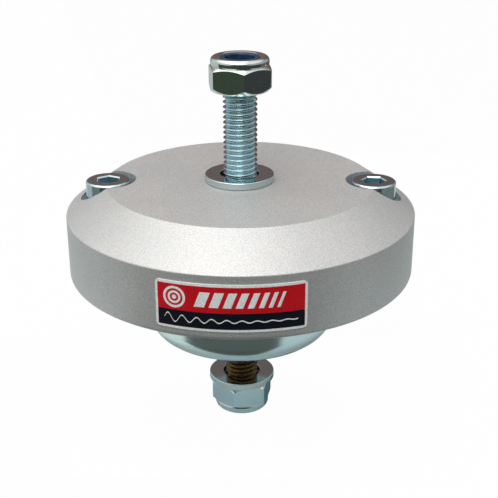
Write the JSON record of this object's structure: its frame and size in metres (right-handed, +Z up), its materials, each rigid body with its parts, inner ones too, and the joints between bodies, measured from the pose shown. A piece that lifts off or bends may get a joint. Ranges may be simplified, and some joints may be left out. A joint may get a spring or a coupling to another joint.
{
  "type": "engine mount",
  "caption": "Fail-safe bonded rubber engine mount: round turned aluminium cover over a pressed steel cup, with a threaded stud, washer and lock nut above and below.",
  "frame": {"origin": "middle of the bottom face of the lower lock nut, on which the mount stands, on the axis of the studs", "axes": "+Z up along the studs; -Y towards the label on the cover's side; the two cap screws lie along X"},
  "size_m": [0.102, 0.1023, 0.1115],
  "materials": {
    "anodised_aluminium": "turned, bead-blasted and clear anodised, satin",
    "zinc_plated_steel": "bright blue-white zinc plate",
    "pressed_cup_steel": "bright zinc plate on a smooth pressing",
    "yellow_zinc_steel": "yellow passivated zinc plate",
    "black_rubber": "moulded, matt",
    "blue_nylon": "moulded",
    "label_film": "printed self-adhesive film, semi-gloss"
  },
  "bodies": {
    "base": {"lower_cup": "pressed_cup_steel", "lower_plate": "zinc_plated_steel", "lower_stud": "yellow_zinc_steel", "lower_washer": "zinc_plated_steel", "lower_nut": "zinc_plated_steel", "lower_nut_insert": "blue_nylon", "bump_ring": "black_rubber"},
    "rebound": {"rebound_ring": "black_rubber"},
    "rubber": {"main_rubber": "black_rubber"},
    "housing": {"cover": "anodised_aluminium", "cap_screw_left": "zinc_plated_steel", "cap_screw_right": "zinc_plated_steel", "retaining_ring": "zinc_plated_steel", "dowel_pin": "zinc_plated_steel", "upper_plate": "zinc_plated_steel", "upper_stud": "zinc_plated_steel", "upper_washer": "zinc_plated_steel", "upper_nut": "zinc_plated_steel", "upper_nut_insert": "blue_nylon", "label": "label_film"}
  },
  "joints": [
    {"name": "bounce", "type": "slide", "parent": "base", "child": "rebound", "axis": [0, 0, 1], "range_m": [-0.0032, 0.0015], "stiffness_N_per_m": 150000, "deforming": ["main_rubber"]},
    {"name": "sway_side", "type": "slide", "parent": "rebound", "child": "rubber", "axis": [1, 0, 0], "range_m": [-0.001, 0.001], "stiffness_N_per_m": 60000},
    {"name": "sway_fore_aft", "type": "slide", "parent": "rubber", "child": "housing", "axis": [0, 1, 0], "range_m": [-0.001, 0.001], "stiffness_N_per_m": 60000}
  ]
}
